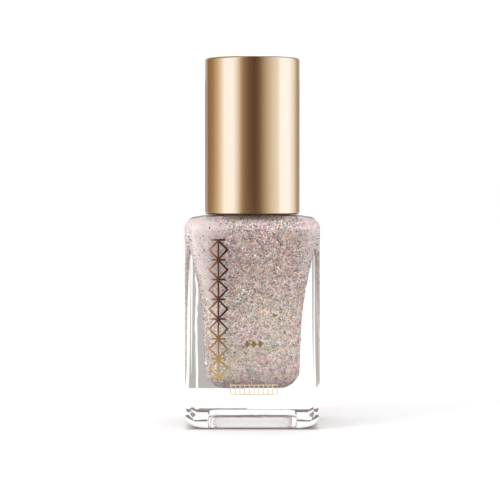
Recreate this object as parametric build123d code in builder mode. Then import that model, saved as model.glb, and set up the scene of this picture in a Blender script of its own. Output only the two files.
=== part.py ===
"""Nail polish bottle: a heavy rectangular glass bottle of glitter lacquer, closed by a gold screw cap
that carries the brush.

Frame: millimetres, +Z up, origin at the centre of the underside, front face towards -Y, +X to the right.
The closure screws on a 13-415 neck finish: it turns anticlockwise, rises by one pitch a turn, and is then
drawn straight up with the brush.
"""

import math
import os

from build123d import *

# ---------------------------------------------------------------- glass body
body_width = 29.0
body_depth = 23.0
corner_radius = 1.4  # of the upright corners, in plan
heel_radius = 3.3  # where the sides meet the underside
heel_corner = 2.6  # plan radius of the corners at the underside
shoulder_height = 45.2
shoulder_radius = 1.9  # where the sides meet the shoulder
shoulder_corner = 1.8  # plan radius of the corners at the shoulder
crown_height = 0.6  # the shoulder rises this much from its edge to the foot of the neck
crown_edge = 0.1  # plan distance from the end of the rounding to the crown
crown_rise_across = 3.0  # plan length of the rise along X
crown_rise_deep = 1.2  # plan length of the rise along Y
crown_corner = 4.5  # plan radius of the crown's top
rounding_steps = 6
rounding_lead = 0.5  # straight length that each rounded end starts with
punt_width = 20.2  # mouth of the recess in the underside, inside the standing rim
punt_depth = 14.2
punt_corner = 3.2
punt_height = 2.8
punt_draft = 8  # degrees that the recess narrows by
punt_edge = 0.5
label_width = 18.2  # blank shade label stuck in the punt
label_depth = 12.2
label_corner = 2.4
label_thickness = 0.06

# ---------------------------------------------------------------- cavity, as (height, width, depth, corner)
floor_height = 8.4  # thickness of the heavy base
cavity_sections = [
    (floor_height, 20.0, 13.6, 4.6),
    (15.5, 20.6, 14.2, 4.6),
    (24.0, 21.4, 15.0, 4.2),
    (32.8, 24.0, 17.6, 3.4),
    (39.0, 26.4, 20.2, 2.6),
    (44.4, 26.8, 20.6, 2.4),
]
cavity_top = cavity_sections[-1][0]
cavity_floor_radius = 4.2
cavity_shoulder_radius = 1.6

# ---------------------------------------------------------------- neck finish, 13-415
rim_height = 57.4
bore_radius = 3.9
neck_radius = 5.72
thread_crest_radius = 6.47
thread_pitch = 25.4 / 12
thread_flank = 0.53  # how much each flank opens per millimetre of depth
thread_embed = 0.15  # how far a ridge's profile runs into its wall
neck_thread_crest = 0.70  # width of the ridge's flat top
neck_thread_turns = 1.5
neck_thread_start = 51.6
neck_foot_radius = 0.7
rim_radius = 0.4

# ---------------------------------------------------------------- closure
cap_bottom = 46.0
cap_top = 80.0
cap_radius = 10.35
cap_wall = 0.5
cap_crown = 0.6
cap_top_edge = 0.55
cap_bottom_edge = 0.4

gap = 0.02  # free space left between stacked flat faces
inner_bottom = 46.3
inner_top = cap_top - cap_crown - gap
inner_radius = 8.0
inner_flange = 1.0  # thickness of the ring at the foot of the inner cap
chimney_radius = 6.8  # inside of the upper tube
rib_count = 12
rib_width = 0.8
rib_reach = cap_radius - cap_wall - gap
skirt_bore_radius = 6.65
cap_thread_crest_radius = 5.95
cap_thread_crest = 0.45
cap_thread_turns = 1.25
boss_radius = 4.2
boss_height = 5.2

washer_thickness = 0.7
washer_radius = 5.6
washer_hole = 4.05
collar_thickness = 1.2
collar_radius = 5.6
liner_thickness = 0.8
liner_hole = 2.65
ceiling_thickness = 1.3
washer_bottom = rim_height + gap
collar_bottom = washer_bottom + washer_thickness + gap
collar_top = collar_bottom + collar_thickness
liner_bottom = collar_top + gap
ceiling_bottom = liner_bottom + liner_thickness + gap
ceiling_top = ceiling_bottom + ceiling_thickness
boss_top = ceiling_top + boss_height

# ---------------------------------------------------------------- brush
stud_radius = 2.35
stud_bead_radius = 2.65
stud_bead_height = 0.9
stud_bead_middle = ceiling_top + 2.2
stud_top = boss_top - 0.4
stud_clearance = 0.03
plug_radius = bore_radius - 0.06
plug_bottom = rim_height - 2.0
plug_taper = 1.6
rod_radius = 1.9
rod_end_radius = 1.7
rod_end = 28.0
socket_radius = 1.3
socket_depth = 4.6
tuft_tip = 13.0
tuft_root_radius = socket_radius - gap
tuft_sections = [  # (height, half width, half thickness) of the free bristles
    (rod_end - 0.3, 1.28, 1.28),
    (23.0, 1.75, 1.15),
    (17.0, 2.35, 1.00),
    (tuft_tip, 1.90, 0.72),
]
anchor_thickness = 0.35
anchor_width = 3.0
anchor_height = 1.6
anchor_bottom = rod_end + socket_depth - 2.4

# ---------------------------------------------------------------- contents
fill_level = 47.0  # the lacquer stands in the foot of the neck
fill_gap = 0.02
brush_well_radius = 2.9
brush_well_bottom = tuft_tip - 0.4
ball_radius = 25.4 / 8 / 2
ball_x = 3.5
ball_play = 1.6  # how far each ball rolls either way along the floor
ball_z = floor_height + ball_radius + 0.05
ball_well_radius = ball_radius + 0.25

# ---------------------------------------------------------------- foil decoration on the front face
foil_thickness = 0.04
foil_line = 0.38
foil_x = -7.25
foil_low = 11.2
foil_high = 40.8
lozenge_width = 4.4
lozenge_count = 7
crossbar_width = 3.0
emblem_x = 0.3
emblem_z = 18.5
emblem_line = 0.22
emblem_pitch = 1.4
emblem_lozenge = (1.1, 1.7)
band_x = 0.35
band_z = 8.7
band_height = 2.0
band_line = 0.2
band_ticks = 11
tick_pitch = 1.0

os.makedirs("parts", exist_ok=True)


def thread_ridge(root, crest, crest_width, start, turns):
    """A right-handed helical ridge that stands from the root radius to the crest radius.

    The profile runs past the root by thread_embed, so that the ridge joins the wall that carries it.
    """
    outward = 1 if crest > root else -1
    foot = -outward * thread_embed
    foot_width = crest_width + 2 * thread_flank * (abs(crest - root) + thread_embed)
    with BuildPart() as ridge:
        with BuildLine() as path:
            Helix(pitch=thread_pitch, height=turns * thread_pitch, radius=root, center=(0, 0, start))
        with BuildSketch(Plane(origin=path.line @ 0, x_dir=(1, 0, 0), z_dir=path.line % 0)):
            with BuildLine():
                Polyline(
                    (foot, -foot_width / 2),
                    (crest - root, -crest_width / 2),
                    (crest - root, crest_width / 2),
                    (foot, foot_width / 2),
                    close=True,
                )
            make_face()
        sweep(path=path.line, is_frenet=True)
    return ridge.part


def cavity_shape(inset):
    """The inside of the body below the neck, drawn smaller all round by the inset."""
    with BuildPart() as shape:
        for height, width, depth, corner in cavity_sections:
            if height == floor_height:
                height += inset
            if height == cavity_top:
                height -= inset
            with BuildSketch(Plane.XY.offset(height)):
                RectangleRounded(width - 2 * inset, depth - 2 * inset, corner - inset)
        loft()
        fillet(shape.faces().sort_by(Axis.Z)[0].edges(), cavity_floor_radius)
        fillet(shape.faces().sort_by(Axis.Z)[-1].edges(), cavity_shoulder_radius)
    return shape.part


def rounded_end(seam, direction, radius, end_corner):
    """The end of the body beyond the seam height: its sides curve in through a quarter circle.

    The plan corners open from corner_radius at the seam to end_corner at the flat end face.
    """
    with BuildPart() as end:
        with BuildSketch(Plane.XY.offset(seam)):
            RectangleRounded(body_width, body_depth, corner_radius)
        for step in range(rounding_steps + 1):
            turn = math.radians(90 * step / rounding_steps)
            height = seam + direction * (rounding_lead + radius * math.sin(turn))
            inset = radius * (1 - math.cos(turn))
            corner = corner_radius + (end_corner - corner_radius) * step / rounding_steps
            with BuildSketch(Plane.XY.offset(height)):
                RectangleRounded(body_width - 2 * inset, body_depth - 2 * inset, corner)
        loft()
    return end.part


def shoulder_crown():
    """The low rise of the shoulder towards the neck."""
    inset = shoulder_radius + crown_edge
    foot_width = body_width - 2 * inset
    foot_depth = body_depth - 2 * inset
    top_width = foot_width - 2 * crown_rise_across
    top_depth = foot_depth - 2 * crown_rise_deep
    with BuildPart() as crown:
        with BuildSketch(Plane.XY.offset(shoulder_height)):
            RectangleRounded(foot_width, foot_depth, shoulder_corner)
        with BuildSketch(Plane.XY.offset(shoulder_height + crown_height)):
            RectangleRounded(top_width, top_depth, crown_corner)
        loft()
    return crown.part


# ---------------------------------------------------------------- glass bottle
heel_seam = heel_radius + rounding_lead
shoulder_seam = shoulder_height - shoulder_radius - rounding_lead

with BuildPart() as glass_bottle:
    with BuildSketch(Plane.XY.offset(heel_seam)):
        RectangleRounded(body_width, body_depth, corner_radius)
    extrude(amount=shoulder_seam - heel_seam)
    add(rounded_end(heel_seam, -1, heel_radius, heel_corner))
    add(rounded_end(shoulder_seam, 1, shoulder_radius, shoulder_corner))
    add(shoulder_crown())
    with BuildSketch():
        RectangleRounded(punt_width, punt_depth, punt_corner)
    extrude(amount=punt_height, taper=punt_draft, mode=Mode.SUBTRACT)
    punt_ceiling = glass_bottle.faces().filter_by(Plane.XY).sort_by(Axis.Z)[1]
    fillet(punt_ceiling.edges(), punt_edge)
    with BuildSketch(Plane.XY.offset(cavity_top)):
        Circle(neck_radius)
    extrude(amount=rim_height - cavity_top)
    neck_foot = glass_bottle.edges().filter_by(GeomType.CIRCLE).filter_by(
        lambda e: abs(e.radius - neck_radius) < 0.01 and e.center().Z < rim_height - 1
    )
    fillet(neck_foot, neck_foot_radius)
    add(cavity_shape(0), mode=Mode.SUBTRACT)
    with BuildSketch(Plane.XY.offset(cavity_top - 0.5)):
        Circle(bore_radius)
    extrude(amount=rim_height - cavity_top + 0.5, mode=Mode.SUBTRACT)
    fillet(glass_bottle.faces().sort_by(Axis.Z)[-1].edges(), rim_radius)
    add(
        thread_ridge(
            neck_radius, thread_crest_radius, neck_thread_crest, neck_thread_start, neck_thread_turns
        )
    )
glass_bottle.part.label = "glass_bottle"
export_step(glass_bottle.part, "parts/glass_bottle.step")

with BuildPart() as base_label:
    with BuildSketch(Plane.XY.offset(punt_height - label_thickness)):
        RectangleRounded(label_width, label_depth, label_corner)
    extrude(amount=label_thickness)
base_label.part.label = "base_label"
export_step(base_label.part, "parts/base_label.step")

# ---------------------------------------------------------------- lacquer, with room for brush and balls
with BuildPart() as polish_fill:
    add(cavity_shape(fill_gap))
    with BuildSketch(Plane.XY.offset(cavity_top - 1)):
        Circle(bore_radius - fill_gap)
    extrude(amount=fill_level - cavity_top + 1)
    with BuildSketch(Plane.XY.offset(brush_well_bottom)):
        Circle(brush_well_radius)
    extrude(amount=fill_level, mode=Mode.SUBTRACT)
    for side in (-1, 1):
        with Locations((side * ball_x, 0, ball_z)):
            Cylinder(ball_well_radius, 2 * ball_play, rotation=(0, 90, 0), mode=Mode.SUBTRACT)
        for end in (-1, 1):
            with Locations((side * ball_x + end * ball_play, 0, ball_z)):
                Sphere(ball_well_radius, mode=Mode.SUBTRACT)
polish_fill.part.label = "polish_fill"
export_step(polish_fill.part, "parts/polish_fill.step")

for index, side in enumerate((-1, 1), start=1):
    with BuildPart(Location((side * ball_x, 0, ball_z))) as mixing_ball:
        Sphere(ball_radius)
    mixing_ball.part.label = f"mixing_ball_{index}"
    export_step(mixing_ball.part, f"parts/mixing_ball_{index}.step")

# ---------------------------------------------------------------- foil on the front face
front_face = Plane(origin=(0, -body_depth / 2, 0), x_dir=(1, 0, 0), z_dir=(0, -1, 0))
lozenge_pitch = (foil_high - foil_low) / lozenge_count


def lozenge(width, height):
    """A filled lozenge."""
    with BuildSketch() as shape:
        with BuildLine():
            Polyline((-width / 2, 0), (0, -height / 2), (width / 2, 0), (0, height / 2), close=True)
        make_face()
    return shape.sketch


with BuildSketch() as open_lozenge:
    add(lozenge(lozenge_width, lozenge_pitch + 0.3))
    offset(amount=-foil_line, kind=Kind.INTERSECTION, mode=Mode.SUBTRACT)

with BuildPart() as foil_column:
    with BuildSketch(front_face):
        for row in range(lozenge_count):
            with Locations((foil_x, foil_low + (row + 0.5) * lozenge_pitch)):
                add(open_lozenge.sketch)
                Rectangle(foil_line, lozenge_pitch)
        for row in range(lozenge_count + 1):
            with Locations((foil_x, foil_low + row * lozenge_pitch)):
                Rectangle(crossbar_width, foil_line)
    extrude(amount=foil_thickness)
foil_column.part.label = "foil_column"
export_step(foil_column.part, "parts/foil_column.step")

with BuildPart() as foil_emblem:
    with BuildSketch(front_face):
        with Locations((emblem_x, emblem_z)):
            Rectangle(3 * emblem_pitch, emblem_line)
            with GridLocations(emblem_pitch, 1, 3, 1):
                add(lozenge(*emblem_lozenge))
    extrude(amount=foil_thickness)
foil_emblem.part.label = "foil_emblem"
export_step(foil_emblem.part, "parts/foil_emblem.step")

with BuildPart() as foil_band:
    with BuildSketch(front_face):
        with Locations((band_x, band_z)):
            with GridLocations(1, band_height, 1, 2):
                Rectangle((band_ticks - 1) * tick_pitch + band_line, band_line)
            with GridLocations(tick_pitch, 1, band_ticks, 1):
                Rectangle(band_line, band_height)
    extrude(amount=foil_thickness)
foil_band.part.label = "foil_band"
export_step(foil_band.part, "parts/foil_band.step")

# ---------------------------------------------------------------- washer and liner
with BuildPart() as seal_washer:
    with BuildSketch(Plane.XY.offset(washer_bottom)):
        Circle(washer_radius)
        Circle(washer_hole, mode=Mode.SUBTRACT)
    extrude(amount=washer_thickness)
seal_washer.part.label = "seal_washer"
export_step(seal_washer.part, "parts/seal_washer.step")

with BuildPart() as foam_liner:
    with BuildSketch(Plane.XY.offset(liner_bottom)):
        Circle(collar_radius)
        Circle(liner_hole, mode=Mode.SUBTRACT)
    extrude(amount=liner_thickness)
foam_liner.part.label = "foam_liner"
export_step(foam_liner.part, "parts/foam_liner.step")

# ---------------------------------------------------------------- gold overcap
with BuildPart() as overcap:
    with BuildSketch(Plane.XY.offset(cap_bottom)):
        Circle(cap_radius)
    extrude(amount=cap_top - cap_bottom)
    fillet(overcap.edges().sort_by(Axis.Z)[-1], cap_top_edge)
    fillet(overcap.edges().sort_by(Axis.Z)[0], cap_bottom_edge)
    with BuildSketch(Plane.XY.offset(cap_bottom)):
        Circle(cap_radius - cap_wall)
    extrude(amount=cap_top - cap_crown - cap_bottom, mode=Mode.SUBTRACT)
overcap.part.label = "overcap"
export_step(overcap.part, "parts/overcap.step")

# ---------------------------------------------------------------- inner cap
with BuildPart() as inner_cap:
    with BuildSketch(Plane.XY.offset(inner_bottom)):
        Circle(inner_radius)
    extrude(amount=inner_top - inner_bottom)
    with BuildSketch(Plane.XY.offset(inner_bottom)):
        Circle(rib_reach)
    extrude(amount=inner_flange)
    with BuildSketch(Plane.XY.offset(inner_bottom)):
        with PolarLocations((inner_radius + rib_reach) / 2 - 0.1, rib_count):
            Rectangle(rib_reach - inner_radius + 0.18, rib_width)
    extrude(amount=inner_top - inner_bottom)
    with BuildSketch(Plane.XY.offset(inner_bottom)):
        Circle(skirt_bore_radius)
    extrude(amount=ceiling_bottom - inner_bottom, mode=Mode.SUBTRACT)
    with BuildSketch(Plane.XY.offset(ceiling_top)):
        Circle(chimney_radius)
    extrude(amount=inner_top - ceiling_top, mode=Mode.SUBTRACT)
    with BuildSketch(Plane.XY.offset(ceiling_bottom)):
        Circle(boss_radius)
    extrude(amount=boss_top - ceiling_bottom)
    with BuildSketch(Plane.XY.offset(ceiling_bottom)):
        Circle(stud_radius + stud_clearance)
    extrude(amount=boss_top - ceiling_bottom, mode=Mode.SUBTRACT)
    with BuildSketch(Plane.XY.offset(stud_bead_middle - stud_bead_height / 2 - stud_clearance)):
        Circle(stud_bead_radius + stud_clearance)
    extrude(amount=stud_bead_height + 2 * stud_clearance, mode=Mode.SUBTRACT)
    add(
        thread_ridge(
            skirt_bore_radius,
            cap_thread_crest_radius,
            cap_thread_crest,
            neck_thread_start + thread_pitch / 2,
            cap_thread_turns,
        )
    )
inner_cap.part.label = "inner_cap"
export_step(inner_cap.part, "parts/inner_cap.step")

# ---------------------------------------------------------------- brush stem
with BuildPart() as stem:
    with BuildSketch(Plane.XZ):
        with BuildLine():
            Polyline(
                (0, rod_end),
                (rod_end_radius, rod_end),
                (rod_radius, plug_bottom - plug_taper),
                (plug_radius - 0.3, plug_bottom - 0.3),
                (plug_radius, plug_bottom),
                (plug_radius, collar_bottom),
                (collar_radius, collar_bottom),
                (collar_radius, collar_top),
                (stud_radius, collar_top),
                (stud_radius, stud_bead_middle - stud_bead_height / 2),
                (stud_bead_radius, stud_bead_middle - stud_bead_height / 4),
                (stud_bead_radius, stud_bead_middle),
                (stud_radius, stud_bead_middle + stud_bead_height / 2),
                (stud_radius, stud_top - 0.5),
                (stud_radius - 0.4, stud_top),
                (0, stud_top),
                close=True,
            )
        make_face()
    revolve(axis=Axis.Z)
    with BuildSketch(Plane.XY.offset(rod_end)):
        Circle(socket_radius)
    extrude(amount=socket_depth, mode=Mode.SUBTRACT)
    with BuildSketch(Plane.XY.offset(anchor_bottom - gap)):
        Rectangle(anchor_width + 2 * gap, anchor_thickness + 2 * gap)
    extrude(amount=anchor_height + 2 * gap, mode=Mode.SUBTRACT)
stem.part.label = "stem"
export_step(stem.part, "parts/stem.step")

with BuildPart() as tuft_anchor:
    with BuildSketch(Plane.XY.offset(anchor_bottom)):
        Rectangle(anchor_width, anchor_thickness)
    extrude(amount=anchor_height)
tuft_anchor.part.label = "tuft_anchor"
export_step(tuft_anchor.part, "parts/tuft_anchor.step")

# ---------------------------------------------------------------- bristles
with BuildPart() as bristles:
    for height, half_width, half_thickness in tuft_sections:
        with BuildSketch(Plane.XY.offset(height)):
            Ellipse(half_width, half_thickness)
    loft()
    with BuildSketch(Plane.XY.offset(rod_end - 0.3)):
        Circle(tuft_root_radius)
    extrude(amount=socket_depth + 0.3 - gap)
    with BuildSketch(Plane.XY.offset(anchor_bottom - gap)):
        Rectangle(anchor_width, anchor_thickness + 2 * gap)
    extrude(amount=anchor_height + 2 * gap, mode=Mode.SUBTRACT)
bristles.part.label = "bristles"
export_step(bristles.part, "parts/bristles.step")
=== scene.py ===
"""Looks of the nail polish bottle: clear glass, glitter lacquer, gold cap, foil ornament and brush.

Everything is in metres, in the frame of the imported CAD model: +Z up, front face towards -Y.
"""

import math

import bmesh
import bpy
import numpy as np
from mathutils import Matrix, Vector


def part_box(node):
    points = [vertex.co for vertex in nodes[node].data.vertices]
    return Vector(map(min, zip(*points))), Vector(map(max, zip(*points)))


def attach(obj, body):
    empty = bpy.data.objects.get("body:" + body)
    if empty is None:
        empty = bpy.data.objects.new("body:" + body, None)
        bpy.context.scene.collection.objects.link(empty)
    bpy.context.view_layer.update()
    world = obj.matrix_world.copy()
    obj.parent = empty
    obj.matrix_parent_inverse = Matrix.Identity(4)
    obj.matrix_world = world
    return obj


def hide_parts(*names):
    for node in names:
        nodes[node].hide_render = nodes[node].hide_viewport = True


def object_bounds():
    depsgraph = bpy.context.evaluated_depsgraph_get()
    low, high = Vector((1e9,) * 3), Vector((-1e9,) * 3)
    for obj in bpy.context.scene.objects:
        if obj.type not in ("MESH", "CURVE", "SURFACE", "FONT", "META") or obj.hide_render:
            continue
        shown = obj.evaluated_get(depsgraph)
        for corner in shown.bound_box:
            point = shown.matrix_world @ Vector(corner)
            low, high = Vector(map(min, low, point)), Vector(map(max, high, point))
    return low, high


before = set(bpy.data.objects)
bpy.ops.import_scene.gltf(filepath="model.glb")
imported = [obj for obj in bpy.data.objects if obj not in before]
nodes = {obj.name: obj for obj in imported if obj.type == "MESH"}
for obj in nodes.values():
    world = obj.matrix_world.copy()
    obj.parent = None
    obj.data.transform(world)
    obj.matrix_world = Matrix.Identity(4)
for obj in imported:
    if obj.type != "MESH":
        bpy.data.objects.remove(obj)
cad_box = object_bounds()
MM = 0.001


# ---------------------------------------------------------------- shader helpers
def new_material(name, **settings):
    """A Principled material; each setting is a constant on the shader's own socket."""
    material = bpy.data.materials.new(name)
    material.use_nodes = True
    shader = material.node_tree.nodes["Principled BSDF"]
    for socket, value in settings.items():
        shader.inputs[socket.replace("_", " ")].default_value = value
    return material, material.node_tree, shader


def add_node(tree, kind, **inputs):
    """A shader node with its inputs set by name."""
    node = tree.nodes.new("ShaderNode" + kind)
    for socket, value in inputs.items():
        node.inputs[socket.replace("_", " ")].default_value = value
    return node


def feed(tree, socket, value):
    """Gives an input a number, a colour or the output of another node."""
    if isinstance(value, bpy.types.NodeSocket):
        tree.links.new(value, socket)
    elif isinstance(value, tuple):
        socket.default_value = (*value, 1)
    else:
        socket.default_value = value


def object_coordinates(tree, scale=(1, 1, 1)):
    """Object coordinates in metres, scaled."""
    place = tree.nodes.new("ShaderNodeTexCoord")
    mapping = tree.nodes.new("ShaderNodeMapping")
    mapping.inputs["Scale"].default_value = scale
    tree.links.new(place.outputs["Object"], mapping.inputs["Vector"])
    return mapping.outputs["Vector"]


def coordinate(tree, place, axis):
    """One coordinate of a place."""
    split = tree.nodes.new("ShaderNodeSeparateXYZ")
    tree.links.new(place, split.inputs["Vector"])
    return split.outputs[axis]


def calculated(tree, operation, *values, clamp=False):
    """The result of a Math node."""
    node = tree.nodes.new("ShaderNodeMath")
    node.operation = operation
    node.use_clamp = clamp
    for socket, value in zip(node.inputs, values):
        feed(tree, socket, value)
    return node.outputs[0]


def ranged(tree, value, start, end, low=0.0, high=1.0):
    """A value from start to end, brought to low to high and kept between them."""
    node = add_node(tree, "MapRange", From_Min=start, From_Max=end, To_Min=low, To_Max=high)
    tree.links.new(value, node.inputs["Value"])
    return node.outputs["Result"]


def mixed(tree, factor, one, two, blend="MIX"):
    """Two colours, blended."""
    node = tree.nodes.new("ShaderNodeMix")
    node.data_type = "RGBA"
    node.blend_type = blend
    for socket, value in (("Factor", factor), ("A", one), ("B", two)):
        feed(tree, node.inputs[socket], value)
    return node.outputs["Result"]


def ramp(tree, factor, stops, interpolation="LINEAR"):
    """A colour ramp through (position, colour) stops."""
    node = tree.nodes.new("ShaderNodeValToRGB")
    node.color_ramp.interpolation = interpolation
    elements = node.color_ramp.elements
    while len(elements) < len(stops):
        elements.new(0.5)
    for element, (position, colour) in zip(elements, stops):
        element.position = position
        element.color = (*colour, 1)
    tree.links.new(factor, node.inputs["Fac"])
    return node.outputs["Color"]


def noise(tree, place, scale, detail=2, roughness=0.5):
    """Noise of so many waves a metre, from 0 to 1."""
    node = add_node(tree, "TexNoise", Scale=scale, Detail=detail, Roughness=roughness)
    tree.links.new(place, node.inputs["Vector"])
    return node.outputs["Fac"]


def bump(tree, shader, height, strength, distance):
    """Surface relief from a height socket; distance in metres."""
    node = add_node(tree, "Bump", Strength=strength, Distance=distance)
    tree.links.new(height, node.inputs["Height"])
    tree.links.new(node.outputs["Normal"], shader.inputs["Normal"])


# ---------------------------------------------------------------- glass, metal and foil
PAINTED_SHADE_FADE = (0.28 * MM, 0.42 * MM)  # a dark line of painted shade along the cap's foot fades out between these heights above it
GOLD = (0.93, 0.69, 0.43)
GOLD_IN_PAINTED_SHADE = (0.17, 0.10, 0.06)
FOIL_GOLD = (0.86, 0.60, 0.22)
FOIL_GOLD_RISE = 0.42  # share of the column's height over which the yellow gold gives way to copper


def glass_material():
    """Clear flint glass, fire polished, with the faint waviness that moulding leaves."""
    material, tree, shader = new_material(
        "flint_glass", Base_Color=(1, 1, 1, 1), Roughness=0.0, IOR=1.5, Transmission_Weight=1.0
    )
    waves = noise(tree, object_coordinates(tree), 160)
    bump(tree, shader, waves, 0.25, 0.05 * MM)
    return material


def gold_material():
    """Satin gold anodised aluminium with a very fine turned grain, and a dark line of painted shade along
    its lower edge.
    """
    material, tree, shader = new_material("gold_anodised", Metallic=1.0, Roughness=0.10)
    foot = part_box("overcap")[0].z
    height = coordinate(tree, object_coordinates(tree), "Z")
    # painted shade: the gold turns dark brown in a thin line along the cap's foot
    clear_of_painted_shade = ranged(tree, height, foot + PAINTED_SHADE_FADE[0], foot + PAINTED_SHADE_FADE[1])
    tree.links.new(mixed(tree, clear_of_painted_shade, GOLD_IN_PAINTED_SHADE, GOLD), shader.inputs["Base Color"])
    grain = noise(tree, object_coordinates(tree, (2200, 2200, 14000)), 1.0, detail=3)
    bump(tree, shader, grain, 0.03, 0.004 * MM)
    return material


def foil_material():
    """Hot-stamped foil: copper to dark brown across the column, which is painted light and shade, and
    yellow gold at its foot.
    """
    material, tree, shader = new_material("stamped_foil", Metallic=0.55, Roughness=0.35)
    low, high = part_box("foil_column")
    place = object_coordinates(tree)
    across = ranged(tree, coordinate(tree, place, "X"), low.x, high.x)
    gold_top = low.z + FOIL_GOLD_RISE * (high.z - low.z)
    upward = ranged(tree, coordinate(tree, place, "Z"), low.z, gold_top)
    # painted light and shade: across the column the copper runs from light on the left to near black on the
    # right
    copper = ramp(
        tree,
        across,
        [
            (0.0, (0.80, 0.40, 0.26)),
            (0.30, (0.36, 0.15, 0.08)),
            (0.60, (0.07, 0.03, 0.018)),
            (1.0, (0.04, 0.018, 0.01)),
        ],
    )
    tree.links.new(mixed(tree, upward, FOIL_GOLD, copper), shader.inputs["Base Color"])
    return material


def band_material():
    """Thin pale gold foil, worn a little."""
    material, tree, shader = new_material("pale_foil", Metallic=0.3, Roughness=0.4)
    wear = noise(tree, object_coordinates(tree), 420, detail=3, roughness=0.7)
    shade = ramp(tree, wear, [(0.35, (0.80, 0.58, 0.33)), (0.65, (0.95, 0.84, 0.66))])
    tree.links.new(shade, shader.inputs["Base Color"])
    return material


def steel_material():
    """Polished steel with faint tumbling marks."""
    material, tree, shader = new_material("ball_steel", Base_Color=(0.62, 0.62, 0.63, 1), Metallic=1.0)
    marks = noise(tree, object_coordinates(tree), 1500, detail=3)
    tree.links.new(ranged(tree, marks, 0.0, 1.0, 0.12, 0.28), shader.inputs["Roughness"])
    return material


def brass_material():
    """Brass wire, uneven in tone."""
    material, tree, shader = new_material("anchor_brass", Metallic=1.0, Roughness=0.3)
    tone = noise(tree, object_coordinates(tree), 2500)
    shade = ramp(tree, tone, [(0.3, (0.62, 0.43, 0.17)), (0.7, (0.78, 0.58, 0.27))])
    tree.links.new(shade, shader.inputs["Base Color"])
    return material


# ---------------------------------------------------------------- lacquer
CALM_MIDDLE = 2.5 * MM  # the glitter's thick band lies a little to the right of the middle, so the calm parts, with their painted light, reach further on the left
CALM_ACROSS = (7.0 * MM, 12.5 * MM)  # the calm starts, and is complete, this far from there along X
CALM_DEPTH = (6.0 * MM, 8.0 * MM)  # and this far from the middle along Y
RAGGED = 0.9  # how unevenly the glitter thins out towards the calm parts


def calm_share(tree, place):
    """How calm the lacquer is, from 0 to 1: near the upright corners it has little glitter."""
    sideways = calculated(tree, "SUBTRACT", coordinate(tree, place, "X"), CALM_MIDDLE)
    across = ranged(tree, calculated(tree, "ABSOLUTE", sideways), *CALM_ACROSS)
    deep = ranged(tree, calculated(tree, "ABSOLUTE", coordinate(tree, place, "Y")), *CALM_DEPTH)
    return calculated(tree, "MULTIPLY", across, deep)


def lacquer_body_colour(tree, place, upward):
    """The lacquer between the glitter: pale low down and at the shoulder, with soft clouds; the paleness at
    the shoulder, under the cap, is painted light.
    """
    depth = ramp(
        tree,
        upward,
        [
            (0.0, (0.40, 0.33, 0.30)),
            (0.06, (0.80, 0.72, 0.65)),
            (0.35, (0.97, 0.86, 0.77)),
            (0.70, (0.69, 0.54, 0.51)),
            # painted light: the lacquer turns pale at the shoulder, under the cap, where the cap's shade
            # falls
            (0.87, (0.64, 0.49, 0.50)),
            (0.94, (0.95, 0.86, 0.90)),
        ],
    )
    cloud = ramp(
        tree,
        noise(tree, place, 130, detail=4, roughness=0.65),
        [
            (0.32, (0.86, 0.71, 0.72)),
            (0.45, (1.03, 0.95, 1.00)),
            (0.55, (0.98, 1.05, 0.99)),
            (0.68, (1.16, 1.14, 1.00)),
        ],
    )
    return mixed(tree, 1.0, depth, cloud, "MULTIPLY")


def lacquer_speckle(tree, place, upward, body):
    """Glitter too fine and too deep to model flake by flake: tinted cells that crowd together upwards."""
    cells = add_node(tree, "TexVoronoi", Scale=4200, Randomness=1.0)
    tree.links.new(place, cells.inputs["Vector"])
    draws = tree.nodes.new("ShaderNodeSeparateColor")
    tree.links.new(cells.outputs["Color"], draws.inputs["Color"])
    tint = ramp(
        tree,
        draws.outputs["Red"],
        [
            (0.0, (0.05, 0.04, 0.042)),
            (0.08, (0.36, 0.24, 0.19)),
            (0.30, (0.86, 0.62, 0.46)),
            (0.48, (0.70, 0.52, 0.56)),
            (0.60, (0.38, 0.56, 0.60)),
            (0.70, (0.86, 0.78, 0.58)),
            (0.84, (1.0, 0.95, 0.93)),
        ],
        "CONSTANT",
    )
    chance = ranged(tree, draws.outputs["Green"], 0.40, 0.50)
    crowding = ranged(tree, upward, 0.0, 0.6, 0.5, 1.0)
    glitter = mixed(tree, calculated(tree, "MULTIPLY", chance, crowding), body, tint)
    clumps = ramp(
        tree,
        noise(tree, place, 1100, detail=3, roughness=0.7),
        [(0.34, (0.66, 0.62, 0.62)), (0.62, (1.2, 1.2, 1.2))],
    )
    return mixed(tree, 1.0, glitter, clumps, "MULTIPLY")


def lacquer_material():
    """Pearly pink-beige lacquer: speckled with fine glitter, and silky in its calm parts, whose paleness on
    the left is painted light from the left.
    """
    material, tree, shader = new_material("glitter_lacquer", Roughness=0.5, Specular_IOR_Level=0.2)
    place = object_coordinates(tree)
    low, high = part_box("polish_fill")
    upward = ranged(tree, coordinate(tree, place, "Z"), low.z, high.z)
    body = lacquer_body_colour(tree, place, upward)
    speckled = lacquer_speckle(tree, place, upward, body)
    # the calm parts have less glitter and a paler silk; on the left, where the calm reaches furthest, this
    # paleness is painted light from the left
    silk_with_painted_light = ramp(
        tree,
        noise(tree, place, 1500, detail=4, roughness=0.7),
        [(0.30, (0.86, 0.71, 0.70)), (0.50, (0.97, 0.85, 0.84)), (0.70, (1.0, 0.95, 0.95))],
    )
    border = noise(tree, place, 900, detail=4, roughness=0.8)
    ragged = calculated(tree, "MULTIPLY_ADD", border, RAGGED, -RAGGED / 2)
    calm = calculated(tree, "ADD", calm_share(tree, place), ragged, clamp=True)
    tree.links.new(mixed(tree, calm, speckled, silk_with_painted_light), shader.inputs["Base Color"])
    return material


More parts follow.
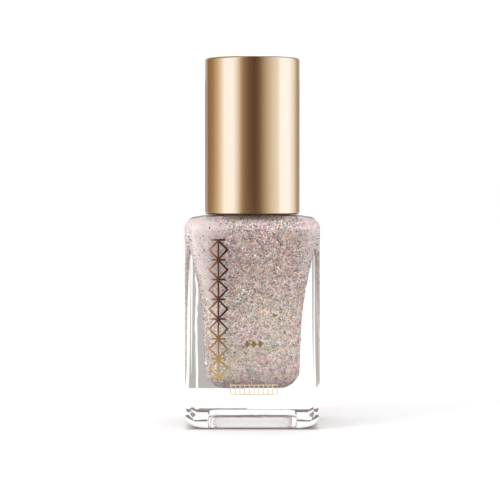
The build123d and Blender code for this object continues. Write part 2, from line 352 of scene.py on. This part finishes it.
# ---------------------------------------------------------------- plastics, foam and label
def plastic_material(name, colour, roughness, grain_scale):
    """Moulded plastic with a fine uneven surface."""
    material, tree, shader = new_material(name, Roughness=roughness)
    place = object_coordinates(tree)
    shade = noise(tree, place, grain_scale * 0.3, detail=3)
    darker = tuple(0.88 * channel for channel in colour)
    tree.links.new(ramp(tree, shade, [(0.3, darker), (0.7, colour)]), shader.inputs["Base Color"])
    bump(tree, shader, noise(tree, place, grain_scale, detail=4), 0.3, 0.02 * MM)
    return material


def foam_material():
    """Closed-cell foam: fine pores."""
    material, tree, shader = new_material("liner_foam", Roughness=0.85)
    cells = add_node(tree, "TexVoronoi", Scale=6000)
    tree.links.new(object_coordinates(tree), cells.inputs["Vector"])
    pores = cells.outputs["Distance"]
    shade = ramp(tree, pores, [(0.0, (0.62, 0.61, 0.58)), (0.6, (0.88, 0.87, 0.84))])
    tree.links.new(shade, shader.inputs["Base Color"])
    bump(tree, shader, pores, 0.5, 0.03 * MM)
    return material


def label_material():
    """Blank pale film."""
    material, tree, shader = new_material("label_film", Roughness=0.4)
    tone = noise(tree, object_coordinates(tree), 900, detail=4)
    shade = ramp(tree, tone, [(0.3, (0.90, 0.89, 0.88)), (0.7, (0.95, 0.945, 0.94))])
    tree.links.new(shade, shader.inputs["Base Color"])
    return material


def bristle_material():
    """Dark nylon filaments, wetted unevenly with lacquer."""
    material, tree, shader = new_material(
        "nylon_bristles", Roughness=0.3, Coat_Weight=0.4, Coat_Roughness=0.1
    )
    wet = noise(tree, object_coordinates(tree, (900, 900, 260)), 1.0, detail=3)
    shade = ramp(tree, wet, [(0.45, (0.030, 0.026, 0.026)), (0.60, (0.30, 0.22, 0.21))])
    tree.links.new(shade, shader.inputs["Base Color"])
    return material


# ---------------------------------------------------------------- mesh helper
def mesh_piece(name, vertices, faces, material, smooth=False):
    """An object made from vertices and faces."""
    mesh = bpy.data.meshes.new(name)
    mesh.from_pydata([tuple(v) for v in vertices], [], [tuple(f) for f in faces])
    mesh.materials.append(material)
    if smooth:
        mesh.polygons.foreach_set("use_smooth", [True] * len(mesh.polygons))
    mesh.update()
    piece = bpy.data.objects.new(name, mesh)
    bpy.context.scene.collection.objects.link(piece)
    return piece


# ---------------------------------------------------------------- label
LABEL_GAP = 0.02 * MM  # a film of air between the label and the glass, which mirrors at a low angle
LABEL_CORNER = 2.4 * MM
LABEL_BEVEL = 0.01 * MM
LABEL_ARC_STEPS = 8


def blank_label():
    """The blank shade label in the recess under the base: a thin film with rounded corners."""
    low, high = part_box("base_label")
    half_x, half_y = (high.x - low.x) / 2, (high.y - low.y) / 2
    outline = []
    for quarter, (side_x, side_y) in enumerate(((1, 1), (-1, 1), (-1, -1), (1, -1))):
        for step in range(LABEL_ARC_STEPS + 1):
            turn = math.pi / 2 * (quarter + step / LABEL_ARC_STEPS)
            x = side_x * (half_x - LABEL_CORNER) + LABEL_CORNER * math.cos(turn)
            y = side_y * (half_y - LABEL_CORNER) + LABEL_CORNER * math.sin(turn)
            outline.append((x, y))
    count = len(outline)
    rings = [
        (low.z, 1 - LABEL_BEVEL / half_x),
        (low.z + LABEL_BEVEL, 1.0),
        (high.z - LABEL_GAP, 1.0),
    ]
    vertices = [(x * share, y * share, z) for z, share in rings for x, y in outline]
    faces = [list(reversed(range(count))), [2 * count + k for k in range(count)]]
    for ring in range(len(rings) - 1):
        for k in range(count):
            after = (k + 1) % count
            one, two = ring * count, (ring + 1) * count
            faces.append([one + k, one + after, two + after, two + k])
    return mesh_piece("shade_label", vertices, faces, label_material())


# ---------------------------------------------------------------- lacquer
LACQUER_SWELL = 0.05 * MM  # the lacquer reaches this far past its CAD solid, so that it wets the glass
WELD = 0.0005 * MM  # vertices of the CAD mesh nearer than this are one
BRUSH_WELL = 3.1 * MM  # radius around the axis that holds every face of the brush's well
BALL_WELL = (7.0 * MM, 1.9 * MM, 4.0 * MM)  # half length, half width and height around the balls' wells
FLOOR_SKIN = 0.02 * MM  # faces nearer than this to the cavity's floor belong to the floor
TOP_SKIN = 0.01 * MM  # and nearer than this to the fill's top, to the top


def lacquer_body():
    """The lacquer as one closed body: the CAD fill without the wells that leave room for moving pieces."""
    low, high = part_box("polish_fill")
    floor = low.z + FLOOR_SKIN
    shape = bmesh.new()
    shape.from_mesh(nodes["polish_fill"].data)
    bmesh.ops.remove_doubles(shape, verts=shape.verts, dist=WELD)

    def in_well(face):
        centre = face.calc_center_median()
        length, width, height = BALL_WELL
        by_brush = math.hypot(centre.x, centre.y) < BRUSH_WELL and floor < centre.z < high.z - TOP_SKIN
        by_ball = abs(centre.x) < length and abs(centre.y) < width and floor < centre.z < floor + height
        return by_brush or by_ball

    bmesh.ops.delete(shape, geom=[f for f in shape.faces if in_well(f)], context="FACES")
    bmesh.ops.holes_fill(shape, edges=[e for e in shape.edges if e.is_boundary], sides=0)
    bmesh.ops.triangulate(shape, faces=shape.faces)
    bmesh.ops.recalc_face_normals(shape, faces=shape.faces)
    for vertex in shape.verts:
        vertex.co += vertex.normal * LACQUER_SWELL
    mesh = bpy.data.meshes.new("lacquer")
    shape.to_mesh(mesh)
    shape.free()
    mesh.materials.append(lacquer_material())
    mesh.polygons.foreach_set("use_smooth", [True] * len(mesh.polygons))
    piece = bpy.data.objects.new("lacquer", mesh)
    bpy.context.scene.collection.objects.link(piece)
    return piece


# ---------------------------------------------------------------- glitter
FLAKE_KINDS = [  # name, colour, share, radius range in mm
    ("flakes_silver", (1.0, 0.98, 0.97), 0.20, (0.08, 0.17)),
    ("flakes_champagne", (0.98, 0.82, 0.56), 0.20, (0.08, 0.17)),
    ("flakes_rose", (0.92, 0.60, 0.60), 0.17, (0.08, 0.17)),
    ("flakes_aqua", (0.48, 0.80, 0.84), 0.05, (0.12, 0.34)),
    ("flakes_lilac", (0.66, 0.58, 0.90), 0.07, (0.09, 0.19)),
    ("flakes_copper", (0.72, 0.40, 0.26), 0.12, (0.08, 0.17)),
    ("flakes_graphite", (0.04, 0.035, 0.04), 0.18, (0.09, 0.19)),
]
FLAKE_COUNT = 20000
FLAKE_SIDES = 6
FLAKE_THICKNESS = 0.012 * MM
FLAKE_TILT = 0.38  # spread of the random lean of each flake's facing
FLAKE_REACH = 0.4 * MM  # no part of a flake lies further than this from its middle
DARK_RISE = (10 * MM, 34 * MM)  # the dark flakes grow denser over these heights
DARK_SHARE = (0.12, 1.0)  # share of the dark flakes that is kept at its start and its end
SHOULDER_RISE = (41 * MM, 43 * MM)  # the flakes thin out over these heights
SHOULDER_LOSS = 0.7  # share of the flakes that is missing on top of the shoulder, under the cap
CALM_LOSS = 0.62  # share of the flakes that is missing where the lacquer is calm
NECK_CLEAR = 1.6 * MM  # no flakes this near the lacquer's top, where the brush's plug moves
BALL_ROLL = 1.6 * MM  # how far each ball rolls either way


def in_ball_track(place):
    """Which places lie where one of the agitator balls rolls."""
    inside = np.zeros(len(place), bool)
    reach_x = BALL_ROLL + FLAKE_REACH
    for name in ("mixing_ball_1", "mixing_ball_2"):
        low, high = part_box(name)
        near_x = (place[:, 0] > low.x - reach_x) & (place[:, 0] < high.x + reach_x)
        near_y = (place[:, 1] > low.y - FLAKE_REACH) & (place[:, 1] < high.y + FLAKE_REACH)
        inside |= near_x & near_y & (place[:, 2] < high.z + FLAKE_REACH)
    return inside


def calm_places(place):
    """How calm the lacquer is at each place, from 0 to 1, as in its material."""
    across = np.interp(np.abs(place[:, 0] - CALM_MIDDLE), CALM_ACROSS, (0, 1))
    return across * np.interp(np.abs(place[:, 1]), CALM_DEPTH, (0, 1))


def unit(vectors):
    """Vectors brought to length 1."""
    return vectors / np.linalg.norm(vectors, axis=1)[:, None]


def flake_mesh(places, facings, sides, radii):
    """Thin prisms at the given places, as vertices and faces."""
    angles = np.arange(FLAKE_SIDES) * math.tau / FLAKE_SIDES
    vertices = []
    faces = []
    for place, facing, side, radius in zip(places, facings, sides, radii):
        other = np.cross(facing, side)
        ring = radius * (np.cos(angles)[:, None] * side + np.sin(angles)[:, None] * other)
        start = len(vertices)
        vertices.extend(place + ring + FLAKE_THICKNESS * facing)
        vertices.extend(place + ring - FLAKE_THICKNESS * facing)
        faces.append([start + k for k in range(FLAKE_SIDES)])
        faces.append([start + 2 * FLAKE_SIDES - 1 - k for k in range(FLAKE_SIDES)])
        for k in range(FLAKE_SIDES):
            after = (k + 1) % FLAKE_SIDES
            faces.append([start + k, start + FLAKE_SIDES + k, start + FLAKE_SIDES + after, start + after])
    return vertices, faces


def glitter_flakes(lacquer):
    """Six-sided glitter flakes that lie at all angles against the inside of the glass."""
    rng = np.random.default_rng(7)
    mesh = lacquer.data
    mesh.calc_loop_triangles()
    triangles = np.array([t.vertices for t in mesh.loop_triangles])
    points = np.array([v.co for v in mesh.vertices])
    a, b, c = (points[triangles[:, k]] for k in range(3))
    cross = np.cross(b - a, c - a)
    area = np.linalg.norm(cross, axis=1) / 2
    normal = cross / np.maximum(2 * area, 1e-15)[:, None]
    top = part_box("polish_fill")[1].z
    pieces = []
    for name, colour, share, (small, large) in FLAKE_KINDS:
        count = int(FLAKE_COUNT * share)
        pick = rng.choice(len(area), size=count, p=area / area.sum())
        u, v = rng.random(count), rng.random(count)
        fold = u + v > 1
        u[fold], v[fold] = 1 - u[fold], 1 - v[fold]
        place = a[pick] + u[:, None] * (b - a)[pick] + v[:, None] * (c - a)[pick]
        keep = rng.random(count) > CALM_LOSS * calm_places(place)
        if name == "flakes_graphite":
            keep &= rng.random(count) < np.interp(place[:, 2], DARK_RISE, DARK_SHARE)
        keep &= rng.random(count) > np.interp(place[:, 2], SHOULDER_RISE, (0, SHOULDER_LOSS))
        keep &= place[:, 2] < top - NECK_CLEAR
        keep &= ~in_ball_track(place)
        facing = unit(normal[pick] + rng.normal(0, FLAKE_TILT, (count, 3)))
        side = unit(np.cross(facing, rng.normal(0, 1, (count, 3))))
        radius = rng.uniform(small, large, count) * MM
        vertices, faces = flake_mesh(place[keep], facing[keep], side[keep], radius[keep])
        material = new_material(name, Base_Color=(*colour, 1), Metallic=0.85, Roughness=0.25)[0]
        pieces.append(mesh_piece(name, vertices, faces, material))
    return pieces


# ---------------------------------------------------------------- brush
FILAMENTS = 230
FILAMENT_RADIUS = 0.05 * MM
FILAMENT_SIDES = 5
FILAMENT_STEPS = 12
PACKED_RADIUS = 1.22 * MM  # the tuft where it leaves the socket
BELLY = 0.40  # thickness of the spread tuft, as a share of its width
WIDEST = 0.72  # where the tuft is widest, as a share of its free length
TIP_CLOSING = 0.22  # share of its width that the tuft loses from there to its tip
TIP_RISE = 0.9 * MM  # about how much higher the tuft ends at its sides than in its middle
TIP_SCATTER = 0.25  # how unevenly the filaments end, in mm
BEND = 0.035  # spread of how far a filament's end strays sideways, in mm
SPREAD_SHARE = 0.97  # of the CAD tuft's width
FILL_SHARE = 0.95  # how far out the outermost filament stands
THINNING_START = 0.8  # where the filaments start to thin, as a share of the tuft's free length
THINNING = 0.55  # share of its radius that a filament loses at its tip


def tuft_half_sizes(below, spread):
    """Half width and half thickness of the tuft at a share of its free length."""
    swell = math.sin(min(1.0, below / WIDEST) * math.pi / 2)
    close = 1 - TIP_CLOSING * max(0.0, (below - WIDEST) / (1 - WIDEST)) ** 2
    return [(PACKED_RADIUS + (full - PACKED_RADIUS) * swell) * close for full in (spread, BELLY * spread)]


def bristle_tuft():
    """Single filaments that leave the socket packed round, spread flat, and meet a rounded tip."""
    rng = np.random.default_rng(11)
    low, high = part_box("bristles")
    root = high.z
    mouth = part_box("stem")[0].z
    spread = (high.x - low.x) / 2 * SPREAD_SHARE
    golden = math.pi * (3 - math.sqrt(5))
    vertices = []
    faces = []
    for i in range(FILAMENTS):
        ratio = math.sqrt((i + 0.5) / FILAMENTS) * FILL_SHARE
        px, py = ratio * math.cos(i * golden), ratio * math.sin(i * golden)
        tip = low.z + TIP_RISE * px * px + rng.uniform(0, TIP_SCATTER) * MM
        bend = rng.normal(0, BEND, 2)
        start = len(vertices)
        for step in range(FILAMENT_STEPS + 1):
            z = root + (tip - root) * step / FILAMENT_STEPS
            below = max(0.0, min(1.0, (mouth - z) / (mouth - low.z)))
            half_x, half_y = tuft_half_sizes(below, spread)
            x = px * half_x + bend[0] * below * MM
            y = py * half_y + bend[1] * below * MM
            thinned = max(0.0, (below - THINNING_START) / (1 - THINNING_START))
            radius = FILAMENT_RADIUS * (1 - THINNING * thinned)
            for k in range(FILAMENT_SIDES):
                around = math.tau * k / FILAMENT_SIDES
                vertices.append((x + radius * math.cos(around), y + radius * math.sin(around), z))
        for step in range(FILAMENT_STEPS):
            one = start + step * FILAMENT_SIDES
            two = one + FILAMENT_SIDES
            for k in range(FILAMENT_SIDES):
                after = (k + 1) % FILAMENT_SIDES
                faces.append([one + k, one + after, two + after, two + k])
        faces.append([start + k for k in reversed(range(FILAMENT_SIDES))])
        faces.append([start + FILAMENT_STEPS * FILAMENT_SIDES + k for k in range(FILAMENT_SIDES)])
    return mesh_piece("bristle_filaments", vertices, faces, bristle_material(), smooth=True)


# ---------------------------------------------------------------- object
def set_material(piece, material):
    """Gives a CAD node its one material."""
    piece.data.materials.clear()
    piece.data.materials.append(material)


set_material(nodes["glass_bottle"], glass_material())
set_material(nodes["overcap"], gold_material())
foil = foil_material()
for name in ("foil_column", "foil_emblem"):
    set_material(nodes[name], foil)
set_material(nodes["foil_band"], band_material())
set_material(nodes["inner_cap"], plastic_material("cap_polypropylene", (0.86, 0.84, 0.80), 0.38, 2600))
set_material(nodes["seal_washer"], plastic_material("washer_plastic", (0.88, 0.88, 0.86), 0.3, 2600))
set_material(nodes["foam_liner"], foam_material())
set_material(nodes["stem"], plastic_material("stem_plastic", (0.035, 0.033, 0.034), 0.28, 2200))
set_material(nodes["tuft_anchor"], brass_material())
steel = steel_material()
for name in ("mixing_ball_1", "mixing_ball_2"):
    set_material(nodes[name], steel)

label = blank_label()
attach(label, "bottle")
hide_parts("base_label")

lacquer = lacquer_body()
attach(lacquer, "bottle")
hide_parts("polish_fill")
for flakes in glitter_flakes(lacquer):
    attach(flakes, "bottle")

tuft = bristle_tuft()
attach(tuft, "closure")
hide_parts("bristles")


# ---------------------------------------------------------------- studio
BOTTLE_HEIGHT = cad_box[1][2] - cad_box[0][2]
EYE_SIDE = -0.5 * MM
LENS = 134
EYE_DISTANCE = 5.10 * BOTTLE_HEIGHT
EYE_HEIGHT = 0.735 * BOTTLE_HEIGHT
AIM_HEIGHT = 0.476 * BOTTLE_HEIGHT
FLOOR_HALF = 4.0
KEY_PLACE = (-0.62, -0.42, 0.48)
KEY_TARGET = (0, 0, 0.03)
KEY_SIZE = (0.35, 0.5)
KEY_POWER = 2.2
SKY_STRENGTH = 1.06
# a contact shadow is painted on the floor under the standing rim, between these distances from the bottle's
# box in plan
PAINTED_CONTACT_SHADOW = (-6.0 * MM, 0.2 * MM)
STUDIO_RADIUS = 0.9
ROOM_SHARE, BOX_SHARE, HORIZON_SHARE = 0.97, 0.95, 0.98  # of the studio's radius, where each one stands
DOME_MIDDLE = 0.06
DOME_COLUMNS = 360
DOME_ELEVATIONS = [-89, -60, -30, -12, -9, -6, -3, 0, 10, 25, 40, 46, 52, 70, 89]
PATCH_STEPS = 24
ARC_STEPS = 40
HORIZON_FOOT = 1 * MM
HORIZON_TOP = 0.11  # upper edge of the dark strip that stands behind the bottle, at the studio's radius
CARD_LIFT = 0.2 * MM  # how high the flat cards lie above the floor
UNDER_X, UNDER_Y = 9.8 * MM, 6.8 * MM  # half sizes of the glowing card that stands in for the lit floor under the recess
FRONT_HALF = 0.5
FRONT_DEPTH = (-0.85, -16 * MM)  # where the dark card for the dim floor in front starts and ends along Y
GREY = (0.48, 0.455, 0.43)
GREY_DEPTH = (66.5 * MM, 700 * MM)  # the grey cards' near and far edges behind the bottle's middle
GREY_CARDS = [("grey_outer", -40 * MM, -12.15 * MM), ("grey_inner", -11.7 * MM, -1 * MM)]
SOFT_BOXES = [  # (azimuths, elevations, radiance) in front of the bottle
    ((-75, -35), (12, 62), 3.6),
    ((30, 52), (15, 50), 3.2),
    ((-14, 10), (38, 62), 3.4),
    ((75, 100), (5, 45), 2.4),
]
PANEL_STOPS = [  # (azimuth in degrees from the front, positive to the right, radiance colour)
    (-180, (0.90, 0.90, 0.90)),
    (-150, (0.55, 0.52, 0.50)),
    (-133, (0.26, 0.18, 0.09)),
    (-112, (0.36, 0.27, 0.15)),
    (-96, (0.55, 0.49, 0.37)),
    (-83, (0.79, 0.81, 0.84)),
    (-70, (1.10, 1.25, 1.65)),
    (-50, (1.15, 1.30, 1.75)),
    (-42, (0.98, 1.12, 1.40)),
    (-36, (0.85, 0.90, 1.00)),
    (-31, (0.66, 0.62, 0.62)),
    (-26, (0.45, 0.35, 0.28)),
    (-20, (0.28, 0.22, 0.17)),
    (-8, (0.16, 0.11, 0.085)),
    (6, (0.115, 0.070, 0.050)),
    (16, (0.18, 0.12, 0.09)),
    (25, (0.33, 0.28, 0.22)),
    (36, (0.54, 0.50, 0.47)),
    (50, (0.74, 0.76, 0.82)),
    (66, (0.90, 0.98, 1.15)),
    (72, (1.15, 1.32, 1.80)),
    (98, (1.15, 1.32, 1.80)),
    (110, (0.98, 1.10, 1.40)),
    (120, (0.86, 0.90, 1.05)),
    (130, (0.62, 0.60, 0.60)),
    (142, (0.36, 0.33, 0.28)),
    (162, (0.55, 0.52, 0.50)),
    (180, (0.90, 0.90, 0.90)),
]
# (elevation in degrees, share of the panels' light that is left): dim below and overhead
PANEL_RISE = [(-90, 0.30), (-12, 0.35), (-6, 1.0), (40, 1.0), (50, 0.46), (90, 0.50)]


def floor_plane():
    """The white sweep, with a contact shadow painted where the standing rim of the base touches it."""
    material, tree, shader = new_material("white_sweep", Roughness=0.9, Specular_IOR_Level=0.0)
    place = object_coordinates(tree)
    beyond = []
    for axis, half in (("X", cad_box[1][0]), ("Y", cad_box[1][1])):
        size = calculated(tree, "ABSOLUTE", coordinate(tree, place, axis))
        beyond.append(calculated(tree, "SUBTRACT", size, half))
    outside = calculated(tree, "MAXIMUM", *beyond)
    # painted contact shadow: dark under the standing rim, fading to white on both sides
    shade = ramp(
        tree,
        ranged(tree, outside, *PAINTED_CONTACT_SHADOW),
        [
            (0.0, (0.97, 0.965, 0.965)),
            (0.26, (0.80, 0.78, 0.78)),
            (0.44, (0.40, 0.34, 0.33)),
            (0.58, (0.40, 0.34, 0.33)),
            (0.79, (0.62, 0.57, 0.57)),
            (1.0, (0.97, 0.965, 0.965)),
        ],
    )
    tree.links.new(shade, shader.inputs["Base Color"])
    corners = [(x * FLOOR_HALF, y * FLOOR_HALF, 0) for x, y in ((-1, -1), (1, -1), (1, 1), (-1, 1))]
    floor = mesh_piece("floor", corners, [(0, 1, 2, 3)], material)


def glow(name, colour=(1, 1, 1), layer_name=None):
    """An emitting material: one colour, or the colours of a mesh attribute."""
    material = bpy.data.materials.new(name)
    material.use_nodes = True
    tree = material.node_tree
    tree.nodes.clear()
    light = add_node(tree, "Emission", Color=(*colour, 1), Strength=1.0)
    if layer_name:
        layer = tree.nodes.new("ShaderNodeVertexColor")
        layer.layer_name = layer_name
        tree.links.new(layer.outputs["Color"], light.inputs["Color"])
    output = tree.nodes.new("ShaderNodeOutputMaterial")
    tree.links.new(light.outputs["Emission"], output.inputs["Surface"])
    return material


def seen_only_in(piece, glossy=False, transmission=False):
    """Puts a piece on the stage, seen only in mirrored rays or only in refracted ones."""
    piece.visible_camera = False
    piece.visible_diffuse = False
    piece.visible_shadow = False
    piece.visible_volume_scatter = False
    piece.visible_glossy = glossy
    piece.visible_transmission = transmission


def studio_dome():
    """A dome of soft panels that the metal mirrors; it changes with azimuth and dims below and overhead."""
    azimuths, lights = zip(*PANEL_STOPS)
    channels = list(zip(*lights))
    rises, shares = zip(*PANEL_RISE)
    vertices = []
    faces = []
    colours = []
    for elevation in DOME_ELEVATIONS:
        left = np.interp(elevation, rises, shares)
        ring = STUDIO_RADIUS * math.cos(math.radians(elevation))
        z = STUDIO_RADIUS * math.sin(math.radians(elevation)) + DOME_MIDDLE
        for i in range(DOME_COLUMNS):
            azimuth = -180 + 360 * i / DOME_COLUMNS
            turn = math.radians(azimuth)
            vertices.append((ring * math.sin(turn), -ring * math.cos(turn), z))
            colours.append([left * np.interp(azimuth, azimuths, channel) for channel in channels] + [1])
    for row in range(len(DOME_ELEVATIONS) - 1):
        one, two = row * DOME_COLUMNS, (row + 1) * DOME_COLUMNS
        for i in range(DOME_COLUMNS):
            after = (i + 1) % DOME_COLUMNS
            faces.append((one + i, one + after, two + after, two + i))
    dome = mesh_piece("panels", vertices, faces, glow("panels", layer_name="panel"))
    layer = dome.data.color_attributes.new("panel", "FLOAT_COLOR", "POINT")
    layer.data.foreach_set("color", np.array(colours).ravel())
    seen_only_in(dome, glossy=True)


def sky_patch(name, azimuths, elevations, share, colour):
    """A patch of sky between two azimuths and two elevations, at a share of the studio's radius."""
    radius = share * STUDIO_RADIUS
    vertices = []
    faces = []
    for rise in np.radians(np.linspace(*elevations, PATCH_STEPS + 1)):
        for turn in np.radians(np.linspace(*azimuths, PATCH_STEPS + 1)):
            ring = radius * math.cos(rise)
            vertices.append((ring * math.sin(turn), -ring * math.cos(turn), radius * math.sin(rise)))
    for row in range(PATCH_STEPS):
        for column in range(PATCH_STEPS):
            corner = row * (PATCH_STEPS + 1) + column
            above = corner + PATCH_STEPS + 1
            faces.append((corner, corner + 1, above + 1, above))
    seen_only_in(mesh_piece(name, vertices, faces, glow(name, colour)), transmission=True)


def arc_card(name, radius, start, end, colour, **seen):
    """An upright curved card between two azimuths in degrees, as tall as the horizon."""
    vertices = []
    faces = []
    for i in range(ARC_STEPS + 1):
        turn = math.radians(start + (end - start) * i / ARC_STEPS)
        x, y = radius * math.sin(turn), -radius * math.cos(turn)
        vertices += [(x, y, HORIZON_FOOT), (x, y, HORIZON_TOP)]
    for i in range(ARC_STEPS):
        faces.append((2 * i, 2 * i + 2, 2 * i + 3, 2 * i + 1))
    seen_only_in(mesh_piece(name, vertices, faces, glow(name, colour)), **seen)


def floor_card(name, corners, colour, **seen):
    """A flat card that lies on the floor."""
    corners = [(x, y, CARD_LIFT) for x, y in corners]
    card = mesh_piece(name, corners, [(0, 1, 2, 3)], glow(name, colour))
    seen_only_in(card, **seen)
    return card


def rectangle(left, right, front, back):
    """The corners of an upright rectangle in plan, anticlockwise."""
    return [(left, front), (right, front), (right, back), (left, back)]


def behind(x, y):
    """The place at depth y that the front view shows behind x at the bottle's middle."""
    return (x * (EYE_DISTANCE + y) / EYE_DISTANCE, y)


def front_boxes():
    """The dim room in front of the bottle, with small soft boxes that make the glitter sparkle."""
    sky_patch("room", (-110, 110), (1, 88), ROOM_SHARE, (0.62, 0.59, 0.58))
    for number, (azimuths, elevations, light) in enumerate(SOFT_BOXES, start=1):
        colour = (light, 0.96 * light, 0.96 * light)
        sky_patch(f"box_{number}", azimuths, elevations, BOX_SHARE, colour)


def horizon():
    """The dark strip behind the bottle, as the glass refracts it and, paler, as the metal mirrors it."""
    radius = HORIZON_SHARE * STUDIO_RADIUS
    arc_card("horizon", radius, 140, 220, (0.20, 0.17, 0.17), transmission=True)
    arc_card("horizon_mirrored", 0.99 * radius, 150, 210, (0.42, 0.34, 0.36), glossy=True)


def floor_cards():
    """Glowing cards: one stands in for the lit floor under the recess and also lights what lies above it, a
    dark one for a dim floor in front that only the metal mirrors, and grey ones behind the left wall.
    """
    under = rectangle(-UNDER_X, UNDER_X, -UNDER_Y, UNDER_Y)
    glowing_floor_card = floor_card("floor_under", under, (0.97, 0.96, 0.955), transmission=True)
    glowing_floor_card.visible_diffuse = True
    in_front = rectangle(-FRONT_HALF, FRONT_HALF, *FRONT_DEPTH)
    floor_card("floor_in_front", in_front, (0.14, 0.10, 0.075), glossy=True)
    near, far = GREY_DEPTH
    for name, outer, inner in GREY_CARDS:
        corners = [behind(outer, near), behind(inner, near), behind(inner, far), behind(outer, far)]
        floor_card(name, corners, GREY, transmission=True)


def world_light():
    """Even white light from everywhere."""
    world = bpy.data.worlds.new("studio")
    bpy.context.scene.world = world
    world.use_nodes = True
    background = world.node_tree.nodes["Background"]
    background.inputs["Color"].default_value = (1, 1, 1, 1)
    background.inputs["Strength"].default_value = SKY_STRENGTH


def key_light():
    """A soft light from the upper left, in front, that no surface mirrors."""
    light = bpy.data.lights.new("key", "AREA")
    light.shape = "RECTANGLE"
    light.size, light.size_y = KEY_SIZE
    light.energy = KEY_POWER
    lamp = bpy.data.objects.new("key", light)
    lamp.visible_glossy = False
    bpy.context.scene.collection.objects.link(lamp)
    aim_at(lamp, Vector(KEY_PLACE), Vector(KEY_TARGET))


def camera():
    """The eye is in front, above the bottle's middle, and about five bottle heights away."""
    data = bpy.data.cameras.new("camera")
    data.sensor_width = 36
    data.lens = LENS
    data.clip_start = 0.01
    eye = bpy.data.objects.new("camera", data)
    bpy.context.scene.collection.objects.link(eye)
    aim_at(eye, Vector((EYE_SIDE, -EYE_DISTANCE, EYE_HEIGHT)), Vector((EYE_SIDE, 0, AIM_HEIGHT)))
    bpy.context.scene.camera = eye


def aim_at(piece, place, target):
    """Puts a lamp or a camera at a place and turns it towards a target."""
    piece.location = place
    piece.rotation_euler = (target - place).to_track_quat("-Z", "Y").to_euler()


floor_plane()
studio_dome()
front_boxes()
horizon()
floor_cards()
world_light()
key_light()
camera()
bpy.context.scene.view_settings.view_transform = "Standard"
